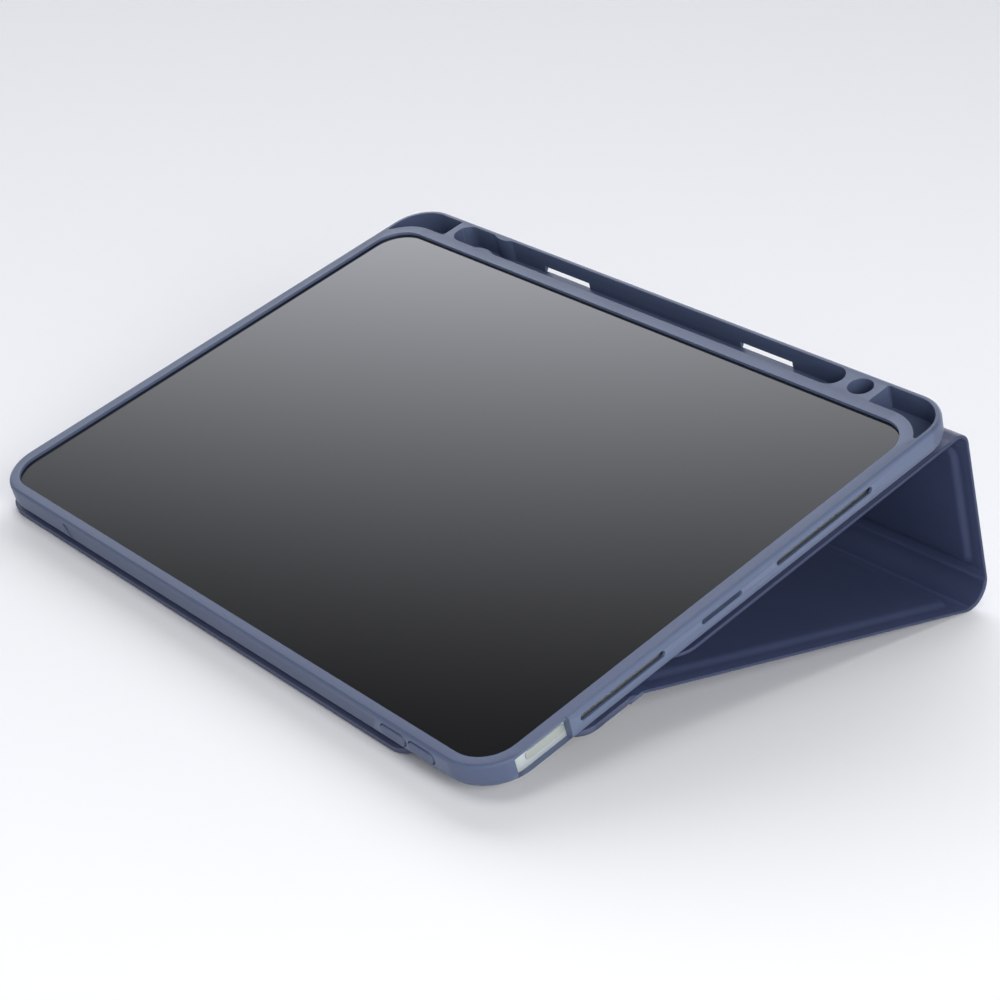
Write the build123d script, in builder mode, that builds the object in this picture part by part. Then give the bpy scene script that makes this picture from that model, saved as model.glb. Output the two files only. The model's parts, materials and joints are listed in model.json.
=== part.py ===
"""Folio case with a soft tray and pencil trough, holding a tablet, folded as a low stand.

Everything is laid out in the tray's own frame: X along the long side, Y from the low edge
to the pencil trough, Z out of the screen, with Z = 0 on the glass. Profiles of the folded
cover are pairs of (y, z) in that frame. The `tray` plane then tilts the whole stand so that
it rests on Z = 0.
"""

from build123d import *
from math import acos, asin, atan2, cos, degrees, hypot, radians, sin, tan
import os

os.makedirs("parts", exist_ok=True)

# --- tablet -------------------------------------------------------------------------------
tablet_length = 248.6
tablet_width = 179.5
tablet_thickness = 7.0
tablet_corner = 13.5
glass_thickness = 0.8
glass_inset = 0.6
housing_wall = 1.8
housing_back = 0.8
display_thickness = 1.2
display_bezel = 9.0
edge_mid_z = -3.5  # height of the ports and keys, half way through the tablet
front_camera_from_low = 3.85
front_lens_radius = 1.1
front_camera_size = 4.0
front_camera_depth = 2.4
camera_ring_radius = 6.2
camera_lens_radius = 5.0
camera_proud = 1.0
camera_lens_recess = 0.2
camera_module_depth = 3.6
grille_pitch = 2.5
grille_hole_radius = 0.9
grille_z = -3.9
long_grille_holes = 13
long_grille_inset = 0.5  # from the high end of its slot to the last hole
short_grille_holes = 10
short_grille_inset = 1.7  # from the low end of its slot to the first hole
speaker_depth = 14.0
speaker_height = 3.6
battery_thickness = 2.6
battery_split = 12.0
battery_end_gap = 10.5
battery_from_low = 27.75
battery_from_high = 39.75
logic_end_gap = 34.3
logic_width = 22.0
logic_thickness = 1.0
logic_from_high = 21.75
shield_end_gap = 9.0
shield_gap = 12.0
shield_width = 17.0
shield_height = 1.2
port_length = 9.2
port_height = 3.4
port_depth = 7.5
port_shell = 0.6
port_setback = 0.3
tablet_magnet_length = 24.0
tablet_magnet_width = 4.0
tablet_magnet_height = 2.2
tablet_magnet_from_low = 17.75
tablet_magnet_spread = 55.0

# --- tray ---------------------------------------------------------------------------------
tablet_gap = 0.1
end_wall = 2.9
low_wall = 2.15
tray_floor = 1.2
lip_overlap = 1.5
lip_rise = 1.1
lip_over_glass = 0.05
opening_corner = 11.5
low_corner = 16.5
high_corner = 14.0
top_edge_round = 1.0
bottom_edge_round = 4.0
keeper_end_gap = 22.3
keeper_thickness = 0.5

# --- pencil trough along the high side ----------------------------------------------------
trough_inner_wall = 2.65
trough_width = 9.7
trough_outer_wall = 1.8
channel_left_gap = 27.9  # from the tray's ends to the ends of the pencil channel
channel_right_gap = 41.5
neck_from_channel_end = 14.9
neck_length = 9.5
neck_bump = 1.2
cap_hole_from_end = 34.0
cap_hole_radius = 4.2
divider = 3.0
pocket_reach = 20.0  # how far a corner pocket runs down the end wall
pocket_tip_round = 0.7
window_length = 23.0
window_offset = 47.8
window_height = 2.5

# --- openings in the tray walls -----------------------------------------------------------
button_cut_length = 19.5
button_cut_from_low = 18.95
button_cut_low_z = -7.0
button_step_depth = 1.1  # how far the cut runs up through the lip's outer edge
speaker_slot_height = 2.2
speaker_slot_z = -2.15
speaker_web = 0.9  # wall left outside the sound pocket behind a slot
sound_pocket_top_z = -0.8
sound_pocket_low_z = -6.6
sound_pocket_longer = 1.0
sound_pocket_corner = 0.8
long_slot_from_high = 27.05
long_slot_length = 41.4
short_slot_from_low = 32.45
short_slot_length = 32.8
mic_slot = (-9.7, 6.8)  # y range of the slot half way along the right end
mic_slot_height = 1.7
mic_slot_z = -2.2
port_cut_length = 13.0
port_cut_height = 6.2
camera_cut = 22.0
camera_cut_corner = 8.0
camera_from_edges = 18.5
recess_left_gap = 43.8
recess_right_gap = 47.3
recess_top_z = -0.6
recess_depth = 0.5
recess_slant = 4.0

# --- keys, pads and the top button --------------------------------------------------------
volume_up_from_end = 36.9
volume_down_from_end = 24.6
pad_length = 10.6
pad_height = 3.8
pad_z = -2.7
pad_gap = 0.4
pad_proud = 0.5
pad_round = 0.5
pad_key_gap = 0.05
key_length = 9.0
key_height = 2.2
key_proud = 0.35
key_gap = 0.06
key_flange = 0.6
key_flange_depth = 0.5
key_travel = 0.3
top_button_from_low = 21.35
top_button_length = 14.6
top_button_height = 2.9
top_button_proud = 0.3
top_button_travel = 0.3
top_button_round = 0.2
switch_gap = 0.15
switch_depth = 1.6
switch_length = 6.0

# --- cover panels -------------------------------------------------------------------------
cover_end_setback = 0.8
skin_thickness = 0.6
board_thickness = 1.3
lining_thickness = 0.5
rim_width = 6.0  # fused border round a board
crease_width = 5.0  # fused strip from a fold to the nearest board
board_corner = 2.0
lining_round = 0.8
back_rim = 5.0
adhesive_thickness = 0.1
adhesive_setback = 0.5
back_panel_width = 57.6
back_corner = 13.0
back_edge_round = 0.8
notch_beside_camera = 14.3
notch_above_camera = 11.75
notch_outer_round = 7.5
notch_inner_round = 12.0
floor_reach = 158.2  # from the back fold to where floor and riser faces would meet
riser_reach = 71.2
spine_radius = 8.0
spine_strip_thickness = 0.5
spine_strip_margin = 1.5
front_fold_overhang = 2.5  # how far the front fold stands beyond the trough
front_fold_radius = 5.0
front_tip_from_fold = 10.9
front_corner = 11.0
front_gap = 0.3
fold_gap = 0.1
magnet_length = 18.0
magnet_width = 8.0
magnet_inset = 12.0
magnet_pitch = 60.0
magnet_count = 4

# --- derived: tray ------------------------------------------------------------------------
half_length = tablet_length / 2
half_width = tablet_width / 2
tray_half = half_length + tablet_gap + end_wall
low_y = -(half_width + tablet_gap + low_wall)
channel_low_y = half_width + tablet_gap + trough_inner_wall
channel_high_y = channel_low_y + trough_width
channel_mid_y = (channel_low_y + channel_high_y) / 2
high_y = channel_high_y + trough_outer_wall
cavity_z = -(tablet_thickness + tablet_gap)
back_z = cavity_z - tray_floor
tray_depth = lip_rise - back_z
channel_left = channel_left_gap - tray_half
channel_right = tray_half - channel_right_gap
neck_left = channel_left + neck_from_channel_end
neck_right = neck_left + neck_length
cap_hole_x = tray_half - cap_hole_from_end
pocket_left = channel_left - divider
pocket_right = cap_hole_x + cap_hole_radius + divider
pocket_low_y = high_y - pocket_reach
recess_left = recess_left_gap - tray_half
recess_right = tray_half - recess_right_gap
keeper_length = 2 * (tray_half - keeper_end_gap)
long_slot = (half_width - long_slot_from_high - long_slot_length, half_width - long_slot_from_high)
short_slot_low = short_slot_from_low - half_width
short_slot = (short_slot_low, short_slot_low + short_slot_length)

# --- derived: tablet ----------------------------------------------------------------------
inner_floor_z = -tablet_thickness + housing_back
inner_end = half_length - housing_wall
camera_place = (half_length - camera_from_edges, camera_from_edges - half_width)
front_camera_y = front_camera_from_low - half_width
long_grille_first = long_slot[1] - long_grille_inset - (long_grille_holes - 1) * grille_pitch
short_grille_first = short_slot[0] + short_grille_inset
grille_runs = ((long_grille_first, long_grille_holes), (short_grille_first, short_grille_holes))
battery_length = inner_end - speaker_depth - battery_end_gap - battery_split / 2
battery_width = tablet_width - battery_from_low - battery_from_high
battery_y = (battery_from_low - battery_from_high) / 2
logic_length = 2 * (half_length - logic_end_gap)
board_y = half_width - logic_from_high
shield_length = (logic_length - 2 * shield_end_gap - 2 * shield_gap) / 3
shield_pitch = shield_length + shield_gap
tablet_magnet_y = tablet_magnet_from_low - half_width
volume_up_x = half_length - volume_up_from_end
volume_down_x = half_length - volume_down_from_end
top_button_y = top_button_from_low - half_width
button_cut_y = button_cut_from_low - half_width
pad_inner_y = -half_width - key_proud - pad_key_gap
key_switch_y = -half_width + housing_wall + key_gap + key_flange_depth + key_travel + switch_gap
button_switch_x = inner_end - key_gap - key_flange_depth - top_button_travel - switch_gap

# --- derived: folded cover in (y, z) ------------------------------------------------------
cover_half_length = tray_half - cover_end_setback
notch_x = camera_place[0] - notch_beside_camera
notch_y = camera_place[1] + notch_above_camera
fused = skin_thickness + lining_thickness
back_panel_thickness = skin_thickness + board_thickness + lining_thickness + adhesive_thickness
back_face_z = back_z - back_panel_thickness
back_fold = (low_y + back_panel_width, back_face_z)
front_face_z = back_z - front_gap
front_fold = (high_y + front_fold_overhang, front_face_z)
front_tip_y = back_fold[0] + front_tip_from_fold

span = hypot(front_fold[0] - back_fold[0], front_fold[1] - back_fold[1])
span_angle = degrees(atan2(front_fold[1] - back_fold[1], front_fold[0] - back_fold[0]))
back_corner_angle = degrees(
    acos((floor_reach**2 + span**2 - riser_reach**2) / (2 * floor_reach * span))
)
spine_corner_angle = degrees(
    acos((floor_reach**2 + riser_reach**2 - span**2) / (2 * floor_reach * riser_reach))
)
floor_angle = span_angle - back_corner_angle
riser_angle = floor_angle + 180 - spine_corner_angle
spine_tangent = spine_radius / tan(radians(spine_corner_angle / 2))
floor_length = floor_reach - spine_tangent
fold_tangent = front_fold_radius * tan(radians((180 - riser_angle) / 2))
riser_length = riser_reach - spine_tangent - fold_tangent
front_length = front_fold[0] - fold_tangent - front_tip_y
magnet_y = front_tip_y + magnet_inset


def along(point, angle, distance):
    """The (y, z) point at a distance from another, in the direction of an angle."""
    return (
        point[0] + distance * cos(radians(angle)),
        point[1] + distance * sin(radians(angle)),
    )


def inward(point, angle, distance):
    """The (y, z) point on the inner side of a panel that runs along an angle."""
    return along(point, angle + 90, distance)


floor_end = along(back_fold, floor_angle, floor_length)
spine_centre = inward(floor_end, floor_angle, spine_radius)
riser_start = inward(spine_centre, riser_angle, -spine_radius)
riser_end = along(riser_start, riser_angle, riser_length)
fold_centre = inward(riser_end, riser_angle, front_fold_radius)
front_start = (fold_centre[0], fold_centre[1] + front_fold_radius)

# --- derived: how the stand sits on the ground --------------------------------------------
low_edge_centre = (low_y + back_edge_round, back_face_z + back_edge_round)
rest_span = hypot(spine_centre[0] - low_edge_centre[0], spine_centre[1] - low_edge_centre[1])
rest_angle = degrees(
    atan2(spine_centre[1] - low_edge_centre[1], spine_centre[0] - low_edge_centre[0])
)
tilt = -rest_angle + degrees(asin((spine_radius - back_edge_round) / rest_span))


def stood_up(point):
    """Turn a tray-frame (y, z) point by the stand's tilt."""
    c, s = cos(radians(tilt)), sin(radians(tilt))
    return (point[0] * c - point[1] * s, point[0] * s + point[1] * c)


nearest_y = stood_up((low_y + top_edge_round, lip_rise - top_edge_round))[0] - top_edge_round
farthest_y = stood_up(spine_centre)[0] + spine_radius
lowest_z = stood_up(spine_centre)[1] - spine_radius

tray = Plane(
    origin=(0, -(nearest_y + farthest_y) / 2, -lowest_z),
    x_dir=(1, 0, 0),
    z_dir=(0, -sin(radians(tilt)), cos(radians(tilt))),
)
up = Axis(tray.origin, tray.z_dir)
across = Axis(tray.origin, tray.y_dir)


# --- work planes --------------------------------------------------------------------------
def level(z):
    """Plane parallel to the screen at a height."""
    return tray.offset(z)


def section(x=0.0):
    """Plane across the case at a place along its length: sketches in it are (y, z)."""
    return Plane(origin=tray.from_local_coords((x, 0, 0)), x_dir=tray.y_dir, z_dir=tray.x_dir)


def right_face(x):
    """Plane facing +X on the right end: sketches in it are (y, z)."""
    return section(x)


def left_face(x):
    """Plane facing -X on the left end: sketches in it are (-y, z)."""
    return Plane(origin=tray.from_local_coords((x, 0, 0)), x_dir=-tray.y_dir, z_dir=-tray.x_dir)


def low_face(y):
    """Plane facing -Y on the low side: sketches in it are (x, z)."""
    return Plane(origin=tray.from_local_coords((0, y, 0)), x_dir=tray.x_dir, z_dir=-tray.y_dir)


def panel_plane(start, angle, depth=0.0):
    """Plane of a cover panel: X along the case, Y along the panel, Z to its inner side."""
    y, z = inward(start, angle, depth)
    normal = tray.y_dir * -sin(radians(angle)) + tray.z_dir * cos(radians(angle))
    return Plane(origin=tray.from_local_coords((0, y, z)), x_dir=tray.x_dir, z_dir=normal)


def inset_outline(inset):
    """Outline of the tablet in the current sketch, a distance inside its edge."""
    RectangleRounded(tablet_length - 2 * inset, tablet_width - 2 * inset, tablet_corner - inset)


def magnet_pattern():
    """Places of the holding magnets along the front panel's free edge."""
    with Locations((0, front_length - magnet_inset)):
        with GridLocations(magnet_pitch, 0, magnet_count, 1):
            Rectangle(magnet_length, magnet_width)


def save(builder, name):
    """Label a finished piece and write it."""
    builder.part.label = name
    export_step(builder.part, f"parts/{name}.step")


# --- tray shell ---------------------------------------------------------------------------
def tray_outline(inset=0.0):
    """Outline of the tray in the current sketch, with its two sizes of corner."""
    with Locations((0, (low_y + high_y) / 2)):
        Rectangle(2 * (tray_half - inset), high_y - low_y - 2 * inset)
    fillet(vertices().group_by(Axis.Y)[0], low_corner - inset)
    fillet(vertices().group_by(Axis.Y)[-1], high_corner - inset)


def neck_bump_outline(edge_y, height):
    """One of the two swellings of the channel's walls that grip the pencil."""
    with BuildSketch() as bump:
        with BuildLine():
            ThreePointArc(
                (neck_left, edge_y),
                ((neck_left + neck_right) / 2, edge_y + height),
                (neck_right, edge_y),
            )
            Line((neck_right, edge_y), (neck_left, edge_y))
        make_face()
    return bump.sketch


def speaker_slots(plane, toward):
    """Outlines of an end wall's two speaker slots."""
    with BuildSketch(plane) as slots:
        for low, high in (long_slot, short_slot):
            with Locations((toward * (low + high) / 2, speaker_slot_z)):
                SlotOverall(high - low, speaker_slot_height)
    return slots.sketch


def sound_pockets(plane, toward):
    """Outlines of the taller pockets behind the slots, open towards the tablet."""
    pocket_z = (sound_pocket_top_z + sound_pocket_low_z) / 2
    pocket_height = sound_pocket_top_z - sound_pocket_low_z
    with BuildSketch(plane) as pockets:
        for low, high in (long_slot, short_slot):
            pocket_length = high - low + 2 * sound_pocket_longer
            with Locations((toward * (low + high) / 2, pocket_z)):
                RectangleRounded(pocket_length, pocket_height, sound_pocket_corner)
    return pockets.sketch


with BuildPart() as tray_shell:
    with BuildSketch(level(back_z)):
        tray_outline()
    extrude(amount=tray_depth)
    fillet(tray_shell.faces().sort_by(up)[-1].edges(), top_edge_round)
    fillet(tray_shell.faces().sort_by(up)[0].edges(), bottom_edge_round)

    with BuildSketch(level(cavity_z)):
        RectangleRounded(
            tablet_length + 2 * tablet_gap, tablet_width + 2 * tablet_gap, tablet_corner
        )
    extrude(amount=lip_over_glass - cavity_z, mode=Mode.SUBTRACT)
    with BuildSketch(level(lip_over_glass)):
        RectangleRounded(
            tablet_length - 2 * lip_overlap, tablet_width - 2 * lip_overlap, opening_corner
        )
    extrude(amount=lip_rise, mode=Mode.SUBTRACT)

    with BuildSketch(level(cavity_z)):
        with Locations(((channel_left + channel_right) / 2, channel_mid_y)):
            SlotOverall(channel_right - channel_left, trough_width)
        add(neck_bump_outline(channel_low_y, neck_bump), mode=Mode.SUBTRACT)
        add(neck_bump_outline(channel_high_y, -neck_bump), mode=Mode.SUBTRACT)
        with Locations((cap_hole_x, channel_mid_y)):
            Circle(cap_hole_radius)
    extrude(amount=tray_depth, mode=Mode.SUBTRACT)
    with BuildSketch(level(cavity_z)):
        tray_outline(inset=trough_outer_wall)
        RectangleRounded(
            tablet_length + 2 * (tablet_gap + trough_inner_wall),
            tablet_width + 2 * (tablet_gap + trough_inner_wall),
            tablet_corner + trough_inner_wall,
            mode=Mode.SUBTRACT,
        )
        with Locations((0, low_y)):
            Rectangle(2 * tray_half, 2 * (pocket_low_y - low_y), mode=Mode.SUBTRACT)
        with Locations(((pocket_left + pocket_right) / 2, channel_mid_y)):
            Rectangle(pocket_right - pocket_left, 2 * trough_width, mode=Mode.SUBTRACT)
        offset(amount=-pocket_tip_round)
        offset(amount=pocket_tip_round)
    extrude(amount=tray_depth, mode=Mode.SUBTRACT)
    with BuildSketch(low_face(channel_high_y)):
        with GridLocations(2 * window_offset, 0, 2, 1):
            with Locations((0, cavity_z + window_height / 2)):
                Rectangle(window_length, window_height)
    extrude(amount=-2 * trough_outer_wall, mode=Mode.SUBTRACT)

    for face, toward in ((right_face, 1), (left_face, -1)):
        outside = toward * tray_half
        behind_web = toward * (tray_half - speaker_web)
        extrude(speaker_slots(face(outside), toward), amount=-end_wall, mode=Mode.SUBTRACT)
        extrude(
            sound_pockets(face(behind_web), toward),
            amount=speaker_web - end_wall - tablet_gap,
            mode=Mode.SUBTRACT,
        )
    with BuildSketch(right_face(tray_half)):
        with Locations((sum(mic_slot) / 2, mic_slot_z)):
            SlotOverall(mic_slot[1] - mic_slot[0], mic_slot_height)
    extrude(amount=-end_wall, mode=Mode.SUBTRACT)
    for top_z, depth in ((lip_over_glass, 2 * end_wall), (lip_rise, button_step_depth)):
        with BuildSketch(right_face(tray_half)):
            with Locations((button_cut_y, (top_z + button_cut_low_z) / 2)):
                Rectangle(button_cut_length, top_z - button_cut_low_z)
        extrude(amount=-depth, mode=Mode.SUBTRACT)
    with BuildSketch(left_face(-tray_half)):
        with Locations((0, edge_mid_z)):
            SlotOverall(port_cut_length, port_cut_height)
    extrude(amount=-end_wall, mode=Mode.SUBTRACT)

    with BuildSketch(low_face(low_y)):
        for x in (volume_up_x, volume_down_x):
            with Locations((x, pad_z)):
                SlotOverall(pad_length + 2 * pad_gap, pad_height + 2 * pad_gap)
    extrude(amount=-low_wall, mode=Mode.SUBTRACT)
    with BuildSketch(low_face(low_y)):
        with BuildLine():
            Polyline(
                (recess_left, recess_top_z), (recess_right, recess_top_z),
                (recess_right - recess_slant, back_z), (recess_left + recess_slant, back_z),
                close=True,
            )
        make_face()
    extrude(amount=-recess_depth, mode=Mode.SUBTRACT)

    with BuildSketch(level(back_z)):
        with Locations(camera_place):
            RectangleRounded(camera_cut, camera_cut, camera_cut_corner)
    extrude(amount=tray_floor, mode=Mode.SUBTRACT)
    with BuildSketch(level(cavity_z - keeper_thickness)):
        with Locations((0, magnet_y)):
            Rectangle(keeper_length, magnet_width)
    extrude(amount=keeper_thickness, mode=Mode.SUBTRACT)
save(tray_shell, "tray_shell")

with BuildPart() as keeper_strip:
    with BuildSketch(level(cavity_z - keeper_thickness)):
        with Locations((0, magnet_y)):
            Rectangle(keeper_length, magnet_width)
    extrude(amount=keeper_thickness)
save(keeper_strip, "keeper_strip")

# --- volume pads of the tray --------------------------------------------------------------
for name, x in (("volume_up_pad", volume_up_x), ("volume_down_pad", volume_down_x)):
    with BuildPart() as pad:
        with BuildSketch(low_face(pad_inner_y)):
            with Locations((x, pad_z)):
                SlotOverall(pad_length, pad_height)
        extrude(amount=pad_inner_y - low_y + pad_proud)
        fillet(pad.faces().sort_by(across)[0].edges(), pad_round)
    save(pad, name)

# --- tablet housing -----------------------------------------------------------------------
with BuildPart() as tablet_housing:
    with BuildSketch(level(-tablet_thickness)):
        RectangleRounded(tablet_length, tablet_width, tablet_corner)
    extrude(amount=tablet_thickness)
    with BuildSketch(level(0)):
        inset_outline(glass_inset)
    extrude(amount=-glass_thickness, mode=Mode.SUBTRACT)
    with BuildSketch(level(-glass_thickness)):
        inset_outline(housing_wall)
    extrude(amount=inner_floor_z + glass_thickness, mode=Mode.SUBTRACT)

    for plane, toward in ((right_face(half_length), 1), (left_face(-half_length), -1)):
        for first, count in grille_runs:
            with BuildSketch(plane):
                for hole in range(count):
                    with Locations((toward * (first + hole * grille_pitch), grille_z)):
                        Circle(grille_hole_radius)
            extrude(amount=-housing_wall, mode=Mode.SUBTRACT)
    with BuildSketch(right_face(half_length)):
        with Locations((top_button_y, edge_mid_z)):
            SlotOverall(top_button_length + 2 * key_gap, top_button_height + 2 * key_gap)
    extrude(amount=-housing_wall, mode=Mode.SUBTRACT)
    with BuildSketch(left_face(-half_length)):
        with Locations((0, edge_mid_z)):
            SlotOverall(port_length, port_height)
    extrude(amount=-housing_wall, mode=Mode.SUBTRACT)
    with BuildSketch(low_face(-half_width)):
        for x in (volume_up_x, volume_down_x):
            with Locations((x, edge_mid_z)):
                SlotOverall(key_length + 2 * key_gap, key_height + 2 * key_gap)
    extrude(amount=-housing_wall, mode=Mode.SUBTRACT)
    with BuildSketch(level(-tablet_thickness)):
        with Locations(camera_place):
            Circle(camera_lens_radius)
    extrude(amount=housing_back, mode=Mode.SUBTRACT)
save(tablet_housing, "tablet_housing")

# --- glass, display and what is under them --------------------------------------------------
with BuildPart() as cover_glass:
    with BuildSketch(level(-glass_thickness)):
        inset_outline(glass_inset)
        with Locations((0, front_camera_y)):
            Circle(front_lens_radius, mode=Mode.SUBTRACT)
    extrude(amount=glass_thickness)
save(cover_glass, "cover_glass")

with BuildPart() as front_camera_lens:
    with BuildSketch(level(-glass_thickness)):
        with Locations((0, front_camera_y)):
            Circle(front_lens_radius)
    extrude(amount=glass_thickness)
save(front_camera_lens, "front_camera_lens")

with BuildPart() as front_camera:
    with BuildSketch(level(-glass_thickness)):
        with Locations((0, front_camera_y)):
            Rectangle(front_camera_size, front_camera_size)
    extrude(amount=-front_camera_depth)
save(front_camera, "front_camera")

with BuildPart() as display_panel:
    with BuildSketch(level(-glass_thickness)):
        Rectangle(tablet_length - 2 * display_bezel, tablet_width - 2 * display_bezel)
    extrude(amount=-display_thickness)
save(display_panel, "display_panel")

for name, side in (("battery_cell_left", -1), ("battery_cell_right", 1)):
    with BuildPart() as battery_cell:
        with BuildSketch(level(inner_floor_z)):
            with Locations((side * (battery_length + battery_split) / 2, battery_y)):
                RectangleRounded(battery_length, battery_width, 2)
        extrude(amount=battery_thickness)
    save(battery_cell, name)

with BuildPart() as logic_board:
    with BuildSketch(level(inner_floor_z)):
        with Locations((0, board_y)):
            Rectangle(logic_length, logic_width)
    extrude(amount=logic_thickness)
save(logic_board, "logic_board")

with BuildPart() as shield_cans:
    with BuildSketch(level(inner_floor_z + logic_thickness)):
        with Locations((0, board_y)):
            with GridLocations(shield_pitch, 0, 3, 1):
                RectangleRounded(shield_length, shield_width, 1)
    extrude(amount=shield_height)
save(shield_cans, "shield_cans")

for end, side in (("left", -1), ("right", 1)):
    for place, slot in (("high", long_slot), ("low", short_slot)):
        with BuildPart() as speaker:
            with BuildSketch(level(inner_floor_z)):
                with Locations((side * (inner_end - speaker_depth / 2), sum(slot) / 2)):
                    RectangleRounded(speaker_depth, slot[1] - slot[0], 1)
            extrude(amount=speaker_height)
        save(speaker, f"speaker_{place}_{end}")

with BuildPart() as usb_c_port:
    with BuildSketch(left_face(-half_length + port_setback)):
        with Locations((0, edge_mid_z)):
            SlotOverall(port_length, port_height)
            SlotOverall(port_length - port_shell, port_height - port_shell, mode=Mode.SUBTRACT)
    extrude(amount=-port_depth)
    with BuildSketch(left_face(-half_length + port_setback + port_depth - port_shell)):
        with Locations((0, edge_mid_z)):
            SlotOverall(port_length, port_height)
    extrude(amount=-port_shell)
save(usb_c_port, "usb_c_port")

for name, lower, upper, radius, bore in (
    ("rear_camera_ring", -camera_proud, 0, camera_ring_radius, camera_lens_radius),
    ("rear_camera_lens", camera_lens_recess - camera_proud, housing_back, camera_lens_radius, 0),
    ("rear_camera_module", housing_back, housing_back + camera_module_depth, camera_lens_radius, 0),
):
    with BuildPart() as camera_piece:
        with BuildSketch(level(lower - tablet_thickness)):
            with Locations(camera_place):
                Circle(radius)
                if bore:
                    Circle(bore, mode=Mode.SUBTRACT)
        extrude(amount=upper - lower)
    save(camera_piece, name)

with BuildPart() as tablet_magnets:
    with BuildSketch(level(inner_floor_z)):
        with Locations((0, tablet_magnet_y)):
            with GridLocations(tablet_magnet_spread, 0, 3, 1):
                Rectangle(tablet_magnet_length, tablet_magnet_width)
    extrude(amount=tablet_magnet_height)
save(tablet_magnets, "tablet_magnets")

# --- keys and the top button --------------------------------------------------------------
key_places = (("volume_up_key", volume_up_x), ("volume_down_key", volume_down_x))
for name, x in key_places:
    with BuildPart() as key:
        with BuildSketch(low_face(-half_width - key_proud)):
            with Locations((x, edge_mid_z)):
                SlotOverall(key_length, key_height)
        extrude(amount=-(key_proud + housing_wall + key_gap + key_flange_depth))
        with BuildSketch(low_face(-half_width + housing_wall + key_gap)):
            with Locations((x, edge_mid_z)):
                SlotOverall(key_length + 2 * key_flange, key_height + 2 * key_flange)
        extrude(amount=-key_flange_depth)
    save(key, name)

with BuildPart() as top_button:
    with BuildSketch(right_face(half_length + top_button_proud)):
        with Locations((top_button_y, edge_mid_z)):
            SlotOverall(top_button_length, top_button_height)
    extrude(amount=-(top_button_proud + housing_wall + key_gap + key_flange_depth))
    fillet(top_button.faces().sort_by(Axis.X)[-1].edges(), top_button_round)
    with BuildSketch(right_face(half_length - housing_wall - key_gap)):
        with Locations((top_button_y, edge_mid_z)):
            SlotOverall(top_button_length + 2 * key_flange, top_button_height + 2 * key_flange)
    extrude(amount=-key_flange_depth)
save(top_button, "top_button")

with BuildPart() as key_switches:
    with BuildSketch(low_face(key_switch_y)):
        for x in (volume_up_x, volume_down_x):
            with Locations((x, (edge_mid_z + inner_floor_z + key_height / 2) / 2)):
                Rectangle(switch_length, edge_mid_z + key_height / 2 - inner_floor_z)
    extrude(amount=-switch_depth)
    with BuildSketch(right_face(button_switch_x)):
        with Locations((top_button_y, (edge_mid_z + inner_floor_z + key_height / 2) / 2)):
            Rectangle(switch_length, edge_mid_z + key_height / 2 - inner_floor_z)
    extrude(amount=-switch_depth)
save(key_switches, "key_switches")

# --- back panel, glued under the tray -----------------------------------------------------
def back_outline(depth, inset=0.0, fold_inset=0.0):
    """Outline of the back panel: rounded low corner at the left, camera notch at the right."""
    left, right = -cover_half_length + inset, cover_half_length - inset
    low, high = inset, back_panel_width - fold_inset
    inner_x, inner_y = notch_x - inset, notch_y - low_y + inset
    with BuildSketch(panel_plane((low_y, back_face_z), 0, depth)) as outline:
        with BuildLine():
            Polyline(
                (left, low), (inner_x, low), (inner_x, inner_y), (right, inner_y),
                (right, high), (left, high), close=True,
            )
        make_face()
        for corner, radius in (
            ((left, low), back_corner - inset),
            ((inner_x, low), notch_outer_round - inset),
            ((right, inner_y), notch_outer_round - inset),
            ((inner_x, inner_y), notch_inner_round + inset),
        ):
            fillet(outline.vertices().sort_by_distance(corner)[0], radius)
    return outline.sketch


back_depth = back_panel_thickness - adhesive_thickness

with BuildPart() as back_panel_skin:
    extrude(back_outline(0, fold_inset=crease_width), amount=back_depth)
    fillet(back_panel_skin.faces().sort_by(up)[0].edges().sort_by(across)[:-1], back_edge_round)
    with BuildSketch(panel_plane((low_y, back_face_z), 0)):
        with Locations((0, back_panel_width - crease_width / 2 - fold_gap)):
            Rectangle(2 * cover_half_length, crease_width)
    extrude(amount=fused)
    extrude(
        back_outline(skin_thickness, back_rim, crease_width + back_rim),
        amount=back_depth,
        mode=Mode.SUBTRACT,
    )
save(back_panel_skin, "back_panel_skin")

with BuildPart() as back_panel_board:
    extrude(
        back_outline(skin_thickness, back_rim, crease_width + back_rim),
        amount=back_depth - skin_thickness,
    )
save(back_panel_board, "back_panel_board")

with BuildPart() as back_adhesive:
    extrude(
        back_outline(
            back_depth, back_rim + adhesive_setback, crease_width + back_rim + adhesive_setback
        ),
        amount=adhesive_thickness,
    )
save(back_adhesive, "back_adhesive")


# --- folding panels -----------------------------------------------------------------------
def panel_outline(plane, length, tip_corner=0.0):
    """Outline of a folding panel, with round corners at its free end."""
    with BuildSketch(plane) as outline:
        with Locations((0, length / 2)):
            Rectangle(2 * cover_half_length, length)
        if tip_corner:
            fillet(outline.vertices().group_by(Axis.Y)[-1], tip_corner)
    return outline.sketch


def board_outline(plane, length, tip_corner=0.0, grow=0.0):
    """Outline of the stiff board inside a folding panel, grown by the lining that wraps it."""
    near = crease_width - grow
    far = length - (rim_width if tip_corner else crease_width) + grow
    far_corner = max(tip_corner - rim_width, board_corner)
    with BuildSketch(plane) as outline:
        with Locations((0, (near + far) / 2)):
            Rectangle(2 * (cover_half_length - rim_width + grow), far - near)
        fillet(outline.vertices().group_by(Axis.Y)[0], board_corner + grow)
        fillet(outline.vertices().group_by(Axis.Y)[-1], far_corner + grow)
    return outline.sketch


def board_slab(place, length, tip_corner=0.0):
    """Board of a folding panel, in the current part."""
    extrude(board_outline(place(skin_thickness), length, tip_corner), amount=board_thickness)


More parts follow.
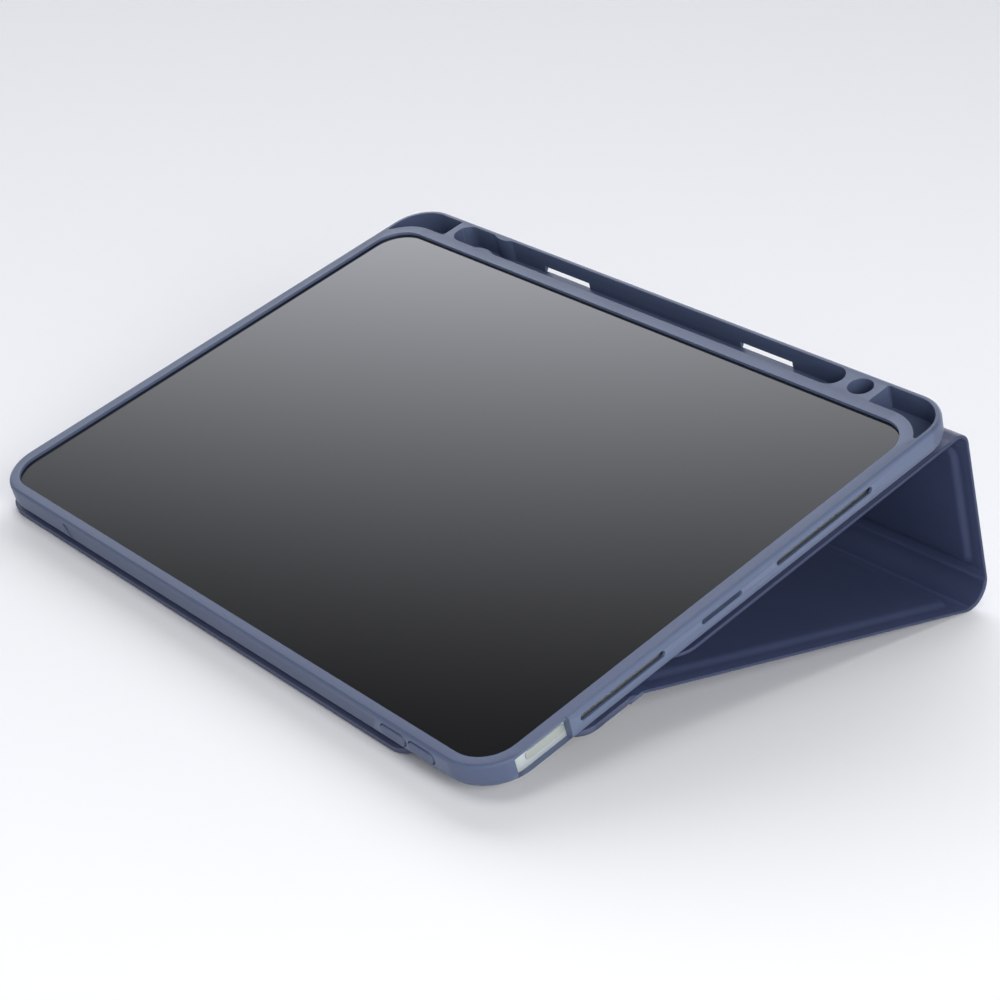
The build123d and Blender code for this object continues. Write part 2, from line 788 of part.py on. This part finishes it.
def lining_sheet(place, length, tip_corner=0.0):
    """Lining of a folding panel: flat on the skin round the rim, raised over the board."""
    base = place(skin_thickness)
    extrude(
        board_outline(base, length, tip_corner, grow=lining_thickness),
        amount=board_thickness + lining_thickness,
    )
    fillet(faces().sort_by(Axis(base.origin, base.z_dir))[-1].edges(), lining_round)
    extrude(panel_outline(base, length, tip_corner), amount=lining_thickness)
    extrude(
        board_outline(base, length, tip_corner), amount=board_thickness, mode=Mode.SUBTRACT
    )


def ring_sector(centre, outer, inner, start, sweep):
    """Closed band between two arcs about a centre, across the case."""
    with BuildSketch(section()) as band:
        with BuildLine():
            outside = CenterArc(centre, outer, start, sweep)
            inside = CenterArc(centre, inner, start, sweep)
            Line(outside @ 0, inside @ 0)
            Line(outside @ 1, inside @ 1)
        make_face()
    return band.sketch


def floor_place(depth=0.0):
    return panel_plane(along(back_fold, floor_angle, fold_gap), floor_angle, depth)


def riser_place(depth=0.0):
    return panel_plane(along(riser_start, riser_angle, fold_gap), riser_angle, depth)


def front_place(depth=0.0):
    return panel_plane(front_start, 180, depth)


def fold_wedge():
    """The crease's own stuff at the back fold, between the ends of its two flat strips."""
    start = along(back_fold, floor_angle, fold_gap)
    with BuildSketch(section()) as wedge:
        with BuildLine():
            Polyline(start, inward(start, floor_angle, fused), inward(back_fold, 0, fused),
                     back_fold, close=True)
        make_face()
    return wedge.sketch


floor_sheet = floor_length - 2 * fold_gap
riser_sheet = riser_length - 2 * fold_gap

with BuildPart() as floor_panel_skin:
    extrude(panel_outline(floor_place(), floor_sheet), amount=skin_thickness)
    extrude(fold_wedge(), amount=cover_half_length, both=True)
save(floor_panel_skin, "floor_panel_skin")

with BuildPart() as floor_panel_board:
    board_slab(floor_place, floor_sheet)
save(floor_panel_board, "floor_panel_board")

with BuildPart() as floor_panel_lining:
    lining_sheet(floor_place, floor_sheet)
save(floor_panel_lining, "floor_panel_lining")

with BuildPart() as riser_panel_skin:
    extrude(panel_outline(riser_place(), riser_sheet), amount=skin_thickness)
save(riser_panel_skin, "riser_panel_skin")

with BuildPart() as riser_panel_board:
    board_slab(riser_place, riser_sheet)
save(riser_panel_board, "riser_panel_board")

with BuildPart() as riser_panel_lining:
    lining_sheet(riser_place, riser_sheet)
save(riser_panel_lining, "riser_panel_lining")

# --- spine, which bends round the trough when the case is closed ----------------------------
spine_start = floor_angle - 90
spine_sweep = riser_angle - floor_angle
strip_setback = degrees(spine_strip_margin / spine_radius)
strip_outer = spine_radius - skin_thickness
strip_inner = strip_outer - spine_strip_thickness

with BuildPart() as spine_skin:
    extrude(
        ring_sector(spine_centre, spine_radius, strip_outer, spine_start, spine_sweep),
        amount=cover_half_length,
        both=True,
    )
save(spine_skin, "spine_skin")

strip_band = ring_sector(
    spine_centre,
    strip_outer,
    strip_inner,
    spine_start + strip_setback,
    spine_sweep - 2 * strip_setback,
)

with BuildPart() as spine_strip:
    extrude(strip_band, amount=cover_half_length - rim_width, both=True)
save(spine_strip, "spine_strip")

with BuildPart() as spine_lining:
    extrude(
        ring_sector(
            spine_centre, strip_outer, strip_inner - lining_thickness, spine_start, spine_sweep
        ),
        amount=cover_half_length,
        both=True,
    )
    extrude(
        strip_band, amount=cover_half_length - rim_width, both=True, mode=Mode.SUBTRACT
    )
save(spine_lining, "spine_lining")

# --- front panel, tucked flat under the tray ------------------------------------------------
fold_start = riser_angle - 90
fold_sweep = 180 - riser_angle
fold_inner = front_fold_radius - skin_thickness

with BuildPart() as front_panel_skin:
    extrude(panel_outline(front_place(), front_length, front_corner), amount=skin_thickness)
    extrude(
        ring_sector(fold_centre, front_fold_radius, fold_inner, fold_start, fold_sweep),
        amount=cover_half_length,
        both=True,
    )
save(front_panel_skin, "front_panel_skin")

with BuildPart() as front_panel_board:
    board_slab(front_place, front_length, front_corner)
    with BuildSketch(front_place(skin_thickness)):
        magnet_pattern()
    extrude(amount=board_thickness, mode=Mode.SUBTRACT)
save(front_panel_board, "front_panel_board")

with BuildPart() as hold_magnets:
    with BuildSketch(front_place(skin_thickness)):
        magnet_pattern()
    extrude(amount=board_thickness)
save(hold_magnets, "hold_magnets")

with BuildPart() as front_panel_lining:
    lining_sheet(front_place, front_length, front_corner)
    extrude(
        ring_sector(
            fold_centre, fold_inner, fold_inner - lining_thickness, fold_start, fold_sweep
        ),
        amount=cover_half_length,
        both=True,
    )
save(front_panel_lining, "front_panel_lining")
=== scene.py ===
"""Looks of a tablet folio: soft tray, leather cover lined over stiff boards, and the tablet."""

import json
from math import atan2, cos, pi, radians, sin, sqrt

import bmesh
import bpy
from mathutils import Matrix, Vector


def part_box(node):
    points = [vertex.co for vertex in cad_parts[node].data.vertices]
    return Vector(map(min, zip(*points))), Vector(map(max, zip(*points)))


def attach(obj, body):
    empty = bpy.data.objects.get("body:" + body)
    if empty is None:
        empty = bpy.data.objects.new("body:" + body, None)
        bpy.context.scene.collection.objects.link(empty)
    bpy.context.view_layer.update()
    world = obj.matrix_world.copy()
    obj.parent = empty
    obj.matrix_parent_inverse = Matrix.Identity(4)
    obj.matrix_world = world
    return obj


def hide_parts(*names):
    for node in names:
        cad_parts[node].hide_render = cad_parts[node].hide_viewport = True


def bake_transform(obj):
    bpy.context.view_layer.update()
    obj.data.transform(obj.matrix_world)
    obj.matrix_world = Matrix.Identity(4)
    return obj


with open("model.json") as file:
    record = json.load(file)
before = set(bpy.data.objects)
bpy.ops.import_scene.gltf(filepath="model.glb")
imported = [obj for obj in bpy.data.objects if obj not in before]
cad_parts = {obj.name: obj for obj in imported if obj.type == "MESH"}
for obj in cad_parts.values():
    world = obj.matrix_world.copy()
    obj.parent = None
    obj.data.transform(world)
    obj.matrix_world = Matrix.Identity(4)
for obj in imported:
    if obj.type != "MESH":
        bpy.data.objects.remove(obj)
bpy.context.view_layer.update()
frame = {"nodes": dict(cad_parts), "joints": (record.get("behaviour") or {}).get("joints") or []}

nodes = frame["nodes"]
joints = {joint["name"]: joint for joint in frame["joints"]}

# --- camera, in metres ----------------------------------------------------------------------
CAMERA_AT = Vector((0.53458, -0.46870, 0.33361))
CAMERA_AIM = Vector((-0.00057, 0.01033, 0.01657))
CAMERA_ROLL = -2.14  # degrees
CAMERA_LENS = 86.14  # focal length in millimetres
SENSOR_WIDTH = 36

# --- folding cover, in millimetres ----------------------------------------------------------
FUSED = 1.1  # skin and lining together
CREASE_FLAT = 2.4  # flat strip from a fold to the nearest panel
FRONT_FOLD_RADIUS = 5.0
TIP_CORNER = 11.0
SHARP_CORNER = 0.05
CORNER_STEPS = 8
BACK_FOLD_GAP = 0.1  # between the glued back panel and its fold
SPINE_THICKENING = 2.0  # how many times thicker the lining is over the board in the spine
RAMP_SHARE = 4  # the thickening rises or falls over one part in this many of a bend
BACK_FLAT_STEPS = 6
SPINE_FLAT_STEPS = 4
BEND_STEPS = 12
EDGE_ANGLE = 32  # degrees; sharper than this shows as an edge

# Edges from the outer face inwards, as (distance in from the edge, height).
SKIN_EDGE = ((0.5, 0.0), (0.22, 0.05), (0.06, 0.18), (0.0, 0.35), (0.07, 0.5), (0.2, 0.6))
LINING_EDGE = ((0.2, 0.6), (0.06, 0.69), (0.0, 0.83), (0.09, 1.01), (0.32, 1.1))
# Rise of the lining over a board, as (in from the edge, in from the fold, height, corner radius).
BOARD_RISE = (
    (3.5, 0.1, 1.1, 4.6), (4.1, 0.5, 1.15, 4.0), (4.7, 1.0, 1.36, 3.4), (5.3, 1.5, 1.74, 2.8),
    (5.9, 2.1, 2.12, 2.2), (6.5, 2.8, 2.34, 1.6), (7.3, 3.6, 2.4, 0.8),
)
# Fall of the lining from the glued back panel to its fold, as (distance to it, thickening).
BACK_RISE = ((4.9, 3.5), (4.3, 3.4), (3.6, 3.0), (2.8, 2.2), (2.0, 1.5), (1.2, 1.15))


def add_camera():
    data = bpy.data.cameras.new("camera")
    data.lens = CAMERA_LENS
    data.sensor_width = SENSOR_WIDTH
    data.clip_start = 0.01
    camera = bpy.data.objects.new("camera", data)
    bpy.context.scene.collection.objects.link(camera)
    forward = (CAMERA_AIM - CAMERA_AT).normalized()
    turn = forward.to_track_quat("-Z", "Y").to_matrix()
    roll = Matrix.Rotation(-radians(CAMERA_ROLL), 3, "Z")
    camera.matrix_world = Matrix.Translation(CAMERA_AT) @ (turn @ roll).to_4x4()
    bpy.context.scene.camera = camera


# --- node materials -------------------------------------------------------------------------
def srgb(red, green, blue):
    """A colour given as 0 to 255 on the screen, as linear light."""
    def linear(value):
        value /= 255
        return value / 12.92 if value <= 0.04045 else ((value + 0.055) / 1.055) ** 2.4
    return (linear(red), linear(green), linear(blue), 1)


def shade(colour, factor):
    return tuple(min(1, channel * factor) for channel in colour[:3]) + (1,)


class Finish:
    """A material under construction: its shader and a few ways to add detail to it."""

    def __init__(self, name, roughness=0.5, **sockets):
        self.material = bpy.data.materials.new(name)
        self.material.use_nodes = True
        self.tree = self.material.node_tree
        self.shader = self.tree.nodes["Principled BSDF"]
        self.set("Roughness", roughness)
        for socket, value in sockets.items():
            self.set(socket.replace("_", " "), value)

    def set(self, socket, value):
        self.shader.inputs[socket].default_value = value

    def node(self, kind, **settings):
        node = self.tree.nodes.new(kind)
        for key, value in settings.items():
            if key in node.inputs:
                node.inputs[key].default_value = value
            else:
                setattr(node, key, value)
        return node

    def link(self, source, target):
        self.tree.links.new(source, target)

    def place(self):
        """Object coordinates in metres."""
        return self.node("ShaderNodeTexCoord").outputs["Object"]

    def noise(self, scale, detail=3.0, roughness=0.55):
        noise = self.node("ShaderNodeTexNoise", Scale=scale, Detail=detail, Roughness=roughness)
        self.link(self.place(), noise.inputs["Vector"])
        return noise.outputs["Fac"]

    def cells(self, scale):
        """Distance from the borders between cells."""
        cells = self.node("ShaderNodeTexVoronoi", feature="DISTANCE_TO_EDGE", Scale=scale)
        self.link(self.place(), cells.inputs["Vector"])
        return cells.outputs["Distance"]

    def edges(self):
        """Near 1 on outer edges, near 0 in hollows, and 0.5 on flat faces."""
        return self.node("ShaderNodeNewGeometry").outputs["Pointiness"]

    def ramp(self, value, low, high, start=0.0, end=1.0):
        """Map a value from start..end to low..high."""
        limits = {"From Min": start, "From Max": end, "To Min": low, "To Max": high}
        node = self.node("ShaderNodeMapRange", **limits)
        self.link(value, node.inputs["Value"])
        return node.outputs["Result"]

    def mix(self, factor, first, second):
        node = self.node("ShaderNodeMix", data_type="RGBA")
        self.link(factor, node.inputs[0])
        for index, colour in ((6, first), (7, second)):
            if isinstance(colour, tuple):
                node.inputs[index].default_value = colour
            else:
                self.link(colour, node.inputs[index])
        return node.outputs[2]

    def colour(self, source):
        self.link(source, self.shader.inputs["Base Color"])

    def rough(self, source):
        self.link(source, self.shader.inputs["Roughness"])

    def bump(self, *layers):
        """Stack bumps given as (height source, distance in metres)."""
        normal = None
        for height, distance in layers:
            bump = self.node("ShaderNodeBump", Distance=distance, Strength=1.0)
            self.link(height, bump.inputs["Height"])
            if normal:
                self.link(normal, bump.inputs["Normal"])
            normal = bump.outputs["Normal"]
        self.link(normal, self.shader.inputs["Normal"])


def soft_tray_finish():
    """Satin soft-touch rubber: fine moulding grain, faint clouding, and a painted highlight along
    its outer edges.
    """
    finish = Finish("soft_tray", 0.5)
    base = finish.mix(finish.noise(18, 4), srgb(73, 84, 112), srgb(81, 93, 121))
    # Outer edges painted paler by curvature: a painted highlight along the lip and wall edges.
    edge_wear_and_highlight = finish.ramp(finish.edges(), 0, 0.4, 0.52, 0.62)
    finish.colour(finish.mix(edge_wear_and_highlight, base, srgb(122, 136, 164)))
    finish.rough(finish.ramp(finish.noise(45, 2), 0.4, 0.54))
    finish.bump((finish.noise(2600, 2, 0.7), 0.00002), (finish.noise(240, 2), 0.00003))
    return finish.material


def leather_finish():
    """Synthetic leather: pebbled grain with creases, and edges rubbed paler."""
    finish = Finish("cover_leather", 0.5)
    pebbles = finish.cells(1400)
    base = finish.mix(finish.noise(25, 3), srgb(45, 53, 81), srgb(55, 63, 94))
    edge_wear_and_highlight = finish.ramp(finish.edges(), 0, 0.35, 0.52, 0.62)
    finish.colour(finish.mix(edge_wear_and_highlight, base, srgb(112, 120, 148)))
    finish.rough(finish.ramp(pebbles, 0.6, 0.42, 0, 0.5))
    finish.bump((pebbles, 0.00004), (finish.noise(700, 3, 0.6), 0.00003))
    return finish.material


def lining_finish():
    """Smooth lining with a short nap: soft sheen and faint brushed patches."""
    finish = Finish("cover_lining", 0.6, Sheen_Weight=0.15, Sheen_Roughness=0.5)
    finish.set("Sheen Tint", srgb(120, 135, 180))
    patches = finish.noise(38, 4, 0.6)
    finish.colour(finish.mix(patches, srgb(50, 59, 90), srgb(59, 69, 101)))
    finish.bump((finish.noise(3500, 2, 0.7), 0.00004), (finish.noise(300, 3), 0.00004))
    return finish.material


def metal_finish(name, colour):
    """Bead-blasted anodised aluminium."""
    finish = Finish(name, 0.38, Metallic=0.35)
    finish.colour(finish.mix(finish.noise(60, 2), colour, shade(colour, 1.12)))
    finish.rough(finish.ramp(finish.noise(900, 2), 0.34, 0.48))
    finish.bump((finish.noise(2200, 2, 0.7), 0.00001))
    return finish.material


def glass_finish(name, colour, ior, haze=0.07):
    """Polished dark glass with the faintest of smears."""
    finish = Finish(name, haze, IOR=ior)
    finish.colour(finish.mix(finish.noise(9, 3), colour, shade(colour, 1.15)))
    finish.rough(finish.ramp(finish.noise(14, 3), haze * 0.8, haze * 1.4))
    return finish.material


def plain_finish(name, colour, roughness, metallic=0.0, scale=900):
    """A moulded, pressed or cut material: mottled colour and a fine grain."""
    finish = Finish(name, roughness, Metallic=metallic)
    finish.colour(finish.mix(finish.noise(scale / 20, 3), shade(colour, 0.82), colour))
    finish.rough(finish.ramp(finish.noise(scale / 6, 2), roughness * 0.85, roughness * 1.15))
    finish.bump((finish.noise(scale, 2), 0.00002))
    return finish.material


def fibreboard_finish():
    """Pressed grey board: flecks of fibre."""
    finish = Finish("stiff_board", 0.85)
    flecks = finish.ramp(finish.noise(1300, 5, 0.7), 0, 1, 0.4, 0.65)
    finish.colour(finish.mix(flecks, srgb(126, 118, 104), srgb(168, 160, 146)))
    finish.bump((finish.noise(1800, 4, 0.7), 0.00005))
    return finish.material


def paint(material, *names):
    for name in names:
        nodes[name].data.materials.clear()
        nodes[name].data.materials.append(material)


def smooth(piece):
    """Shade a piece smooth except over its real edges."""
    bpy.context.view_layer.objects.active = piece
    piece.select_set(True)
    bpy.ops.object.shade_smooth_by_angle(angle=radians(EDGE_ANGLE))
    piece.select_set(False)


# --- cover panels and creases ---------------------------------------------------------------
def side_view(point):
    """The (y, z) part of a point, in millimetres."""
    return Vector((point[1], point[2])) * 1000


def left_of(direction):
    return Vector((-direction.y, direction.x))


def angle_of(direction):
    return atan2(direction.y, direction.x)


def on_circle(angle):
    return Vector((cos(angle), sin(angle)))


def in_row(x, point):
    """A row-frame point in metres from x and a (y, z) point in millimetres."""
    return Vector((x, point.x, point.y)) / 1000


class Panel:
    """A flat panel of the cover: start and run of its outer face in (y, z), half width, length."""

    def __init__(self, start, direction, length, tip_corner=0.0):
        self.start = start
        self.run = direction.normalized()
        self.inward = left_of(self.run)
        self.length = length
        self.tip_corner = tip_corner

    def along(self, distance, height=0.0):
        return self.start + self.run * distance + self.inward * height

    def ring(self, edge, fold, height, corner):
        """Points round the panel at one height, a distance in from its edges and folds."""
        right = half_width - edge
        low = CREASE_FLAT + fold
        high = self.length - (edge if self.tip_corner else low)
        tip = self.tip_corner - edge if self.tip_corner else corner
        points = []
        for side, far, radius, quarter in (
            (1, False, corner, 3), (1, True, tip, 0), (-1, True, tip, 1), (-1, False, corner, 2),
        ):
            centre_x = side * (right - radius)
            centre_run = high - radius if far else low + radius
            for step in range(CORNER_STEPS + 1):
                angle = (quarter + step / CORNER_STEPS) * pi / 2
                place = self.along(centre_run + radius * sin(angle), height)
                points.append(in_row(centre_x + radius * cos(angle), place))
        return points


def loft(name, rings, material):
    """A closed mesh through rings of as many points each, with a face over both ends."""
    count = len(rings[0])
    mesh = bmesh.new()
    rows = [[mesh.verts.new(point) for point in ring] for ring in rings]
    for row, following in zip(rows, rows[1:]):
        for index in range(count):
            after = (index + 1) % count
            mesh.faces.new((row[index], row[after], following[after], following[index]))
    mesh.faces.new(rows[0])
    mesh.faces.new(rows[-1])
    bmesh.ops.recalc_face_normals(mesh, faces=mesh.faces)
    data = bpy.data.meshes.new(name)
    mesh.to_mesh(data)
    mesh.free()
    piece = bpy.data.objects.new(name, data)
    bpy.context.scene.collection.objects.link(piece)
    data.materials.append(material)
    smooth(piece)
    return piece


def folding_panel(name, panel):
    """Skin and lining of one folding panel, over the board inside it."""
    skin_rings = [panel.ring(edge, 0, height, SHARP_CORNER) for edge, height in SKIN_EDGE]
    lining_rings = [panel.ring(edge, 0, height, SHARP_CORNER) for edge, height in LINING_EDGE]
    lining_rings += [panel.ring(*rise) for rise in BOARD_RISE]
    skin = loft(f"{name}_leather", skin_rings, leather)
    inside = loft(f"{name}_padding", lining_rings, lining)
    for piece, part in ((skin, "skin"), (inside, "lining")):
        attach(piece, name)
        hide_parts(f"{name}_{part}")


def crease(name, path, lead=()):
    """Skin and lining strips along a path, from start to end.

    A station is (point, inward direction, times the lining is thicker). Only the lining also
    covers the stations of the lead, ahead of the path.
    """
    strips = []
    for part, edge, material in (("leather", SKIN_EDGE, leather), ("padding", LINING_EDGE, lining)):
        rings = []
        base = edge[0][1]
        for point, inward, thickening in [*lead, *path] if base else path:
            factor = thickening if base else 1
            near = [(inset - half_width, base + (height - base) * factor) for inset, height in edge]
            far = [(-x, height) for x, height in reversed(near)]
            rings.append([in_row(x, point + inward * height) for x, height in near + far])
        strip = loft(f"{name}_{part}", rings, material)
        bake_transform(strip)
        strips.append(strip)
    return strips


def bend(centre, radius, first, last, thickening=1.0, ramp_in=False, ramp_out=False):
    """Path stations round a centre, from one outward angle to another."""
    stations = []
    for step in range(BEND_STEPS + 1):
        share = step / BEND_STEPS
        angle = first + (last - first) * share
        outward = on_circle(angle)
        start_share = min(1, share * RAMP_SHARE) if ramp_in else 1
        end_share = min(1, (1 - share) * RAMP_SHARE) if ramp_out else 1
        factor = 1 + (thickening - 1) * start_share * end_share
        stations.append((centre + outward * radius, -outward, factor))
    return stations


def add_cover():
    """The folding cover, laid out from the hinges."""
    back_fold = side_view(joints["back_crease"]["pos_m"])
    floor_end = side_view(joints["spine_hinge"]["pos_m"])
    riser_start = side_view(joints["riser_hinge"]["pos_m"])
    riser_reach = side_view(joints["front_crease"]["pos_m"]) - riser_start
    press = joints["volume_up_press"]["axis"]
    tray_run = Vector((press[1], press[2]))

    floor = Panel(back_fold, floor_end - back_fold, (floor_end - back_fold).length)
    riser_length = sqrt(riser_reach.length_squared - FUSED**2)
    riser_angle = angle_of(riser_reach) - atan2(FUSED, riser_length)
    riser = Panel(riser_start, on_circle(riser_angle), riser_length)
    chord = riser_start - floor_end
    turn = riser_angle - angle_of(floor.run)
    spine_radius = chord.length / (2 * sin(turn / 2))
    spine_centre = floor_end + floor.inward * spine_radius
    fold_centre = riser.along(riser_length, FRONT_FOLD_RADIUS)
    front_start = fold_centre + left_of(tray_run) * FRONT_FOLD_RADIUS
    tip_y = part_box("front_panel_skin")[0].y * 1000
    front = Panel(front_start, -tray_run, (front_start.x - tip_y) / tray_run.x, TIP_CORNER)

    for name, panel in (("floor_panel", floor), ("riser_panel", riser), ("front_panel", front)):
        folding_panel(name, panel)

    tray_inward = left_of(tray_run)
    between = (tray_inward + floor.inward).normalized()
    path = [(back_fold - tray_run * BACK_FOLD_GAP, tray_inward, 1), (back_fold, between, 1)]
    path += [
        (floor.along(CREASE_FLAT * step / BACK_FLAT_STEPS), floor.inward, 1)
        for step in range(1, BACK_FLAT_STEPS + 1)
    ]
    lead = [(back_fold - tray_run * gap, tray_inward, factor) for gap, factor in BACK_RISE]
    crease("back_crease", path, lead)

    spine_first, spine_last = angle_of(-floor.inward), angle_of(-riser.inward)
    if spine_last < spine_first:
        spine_last += 2 * pi
    spine_middle = (spine_first + spine_last) / 2
    path = [
        (floor.along(floor.length - CREASE_FLAT * step / SPINE_FLAT_STEPS), floor.inward, 1)
        for step in range(SPINE_FLAT_STEPS, 0, -1)
    ]
    low_arc = (spine_centre, spine_radius, spine_first, spine_middle)
    path += bend(*low_arc, SPINE_THICKENING, ramp_in=True)
    low_spine = crease("spine_low_crease", path)
    high_arc = (spine_centre, spine_radius, spine_middle, spine_last)
    path = bend(*high_arc, SPINE_THICKENING, ramp_out=True)
    path += [
        (riser.along(CREASE_FLAT * step / SPINE_FLAT_STEPS), riser.inward, 1)
        for step in range(1, SPINE_FLAT_STEPS + 1)
    ]
    crease("spine_high_crease", path)
    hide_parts("spine_skin")
    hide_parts("spine_lining")

    fold_first, fold_last = angle_of(-riser.inward), angle_of(-front.inward)
    path = [(riser.along(riser.length - CREASE_FLAT), riser.inward, 1)]
    path += bend(fold_centre, FRONT_FOLD_RADIUS, fold_first, fold_last)
    path += [(front.along(CREASE_FLAT), front.inward, 1)]
    crease("front_crease", path)


# --- stage, in metres -----------------------------------------------------------------------
FLOOR_SIZE = 8
FLOOR_DROP = 0.0002  # below the lowest face, so that the two don't flicker
FLOOR_COLOUR = (0.97, 0.97, 0.97, 1)
# Lamps as (name, place, aim, size, power in watts).
LAMPS = (
    ("key", (1.4, -0.4, 0.75), (0, 0, 0.03), 0.7, 10),
    ("fill", (1.1, -0.75, 0.6), (0, 0, 0.03), 0.5, 3.5),
    ("top", (0.3, -0.6, 2.0), (0, 0, 0), 1.2, 9),
)
TENT_COLOUR = (0.91, 0.93, 1.0, 1)
TENT_LEAST = 0.12
# Bright parts of the tent: the side each faces, the cosines to that side at which it starts and
# is full, its peak strength and the power of its rise.
FAR_LEFT_GLOW = ((-0.655, 0.753, 0.062), 0.58, 0.751, 3.2, 2)
FOOT_GLOW = ((0, 0, -1), -0.5, -0.2, 0.85, 1)


def add_floor():
    bpy.ops.mesh.primitive_plane_add(size=FLOOR_SIZE, location=(0, 0, -FLOOR_DROP))
    floor = bpy.context.object
    floor.name = "floor"
    finish = Finish("floor", 0.9)
    finish.set("Base Color", FLOOR_COLOUR)
    floor.data.materials.append(finish.material)


def area_light(name, place, aim, size, power):
    data = bpy.data.lights.new(name, "AREA")
    data.energy = power
    data.size = size
    light = bpy.data.objects.new(name, data)
    light.location = place
    light.rotation_euler = (Vector(aim) - Vector(place)).to_track_quat("-Z", "Y").to_euler()
    bpy.context.scene.collection.objects.link(light)


class Tent:
    """The world's light: how strong it is in each direction."""

    def __init__(self):
        world = bpy.data.worlds.new("world")
        world.use_nodes = True
        bpy.context.scene.world = world
        self.tree = world.node_tree
        self.background = self.tree.nodes["Background"]
        self.background.inputs["Color"].default_value = TENT_COLOUR
        self.direction = self.tree.nodes.new("ShaderNodeTexCoord").outputs["Generated"]

    def maths(self, operation, value, other):
        """One step of arithmetic on a value, with a number or another value."""
        node = self.tree.nodes.new("ShaderNodeMath")
        node.operation = operation
        self.tree.links.new(value, node.inputs[0])
        if isinstance(other, (int, float)):
            node.inputs[1].default_value = other
        else:
            self.tree.links.new(other, node.inputs[1])
        return node.outputs["Value"]

    def glow(self, side, start, full, peak, power):
        """Light that grows from nothing to its peak as the direction turns to one side."""
        towards = self.tree.nodes.new("ShaderNodeVectorMath")
        towards.operation = "DOT_PRODUCT"
        towards.inputs[1].default_value = side
        ramp = self.tree.nodes.new("ShaderNodeMapRange")
        ramp.inputs["From Min"].default_value = start
        ramp.inputs["From Max"].default_value = full
        self.tree.links.new(self.direction, towards.inputs[0])
        self.tree.links.new(towards.outputs["Value"], ramp.inputs["Value"])
        return self.maths("MULTIPLY", self.maths("POWER", ramp.outputs["Result"], power), peak)

    def light(self, least, *glows):
        total = least
        for glow in glows:
            total = self.maths("ADD", glow, total)
        self.tree.links.new(total, self.background.inputs["Strength"])


def add_lights():
    """A studio tent, bright at the far left and round its foot, and three lamps."""
    tent = Tent()
    tent.light(TENT_LEAST, tent.glow(*FAR_LEFT_GLOW), tent.glow(*FOOT_GLOW))
    for lamp in LAMPS:
        area_light(*lamp)
    bpy.context.scene.view_settings.view_transform = "Standard"


# --- the model ------------------------------------------------------------------------------
tray = soft_tray_finish()
leather = leather_finish()
lining = lining_finish()
half_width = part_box("floor_panel_skin")[1].x * 1000  # of the cover, in millimetres

steel = plain_finish("port_steel", srgb(188, 190, 192), 0.3, 1.0)
black = plain_finish("camera_black", srgb(22, 22, 24), 0.55)
board = fibreboard_finish()
paint(tray, "tray_shell", "volume_up_pad", "volume_down_pad")
paint(leather, "back_panel_skin")
paint(board, "back_panel_board", "floor_panel_board", "riser_panel_board", "front_panel_board")
paint(board, "spine_strip")
paint(metal_finish("housing_aluminium", srgb(196, 203, 203)), "tablet_housing", "rear_camera_ring")
key_metal = metal_finish("key_aluminium", srgb(172, 179, 173))
paint(key_metal, "top_button", "volume_up_key", "volume_down_key")
paint(glass_finish("screen_glass", srgb(10, 10, 11), 1.75), "cover_glass")
lens = glass_finish("lens_glass", srgb(26, 28, 36), 1.6, 0.03)
paint(lens, "front_camera_lens", "rear_camera_lens")
paint(glass_finish("display", srgb(14, 14, 16), 1.5, 0.3), "display_panel")
paint(black, "front_camera", "rear_camera_module")
speakers = [name for name in nodes if name.startswith("speaker_")]
paint(black, *speakers)
battery = plain_finish("battery", srgb(60, 62, 66), 0.45, 0.3)
paint(battery, "battery_cell_left", "battery_cell_right")
paint(plain_finish("circuit_board", srgb(34, 70, 50), 0.4), "logic_board")
paint(steel, "usb_c_port", "shield_cans", "key_switches", "keeper_strip")
paint(plain_finish("magnet", srgb(176, 178, 182), 0.25, 1.0), "hold_magnets", "tablet_magnets")
paint(plain_finish("glue", srgb(214, 206, 178), 0.6), "back_adhesive")
for node in nodes.values():
    smooth(node)
add_cover()
add_camera()
add_floor()
add_lights()
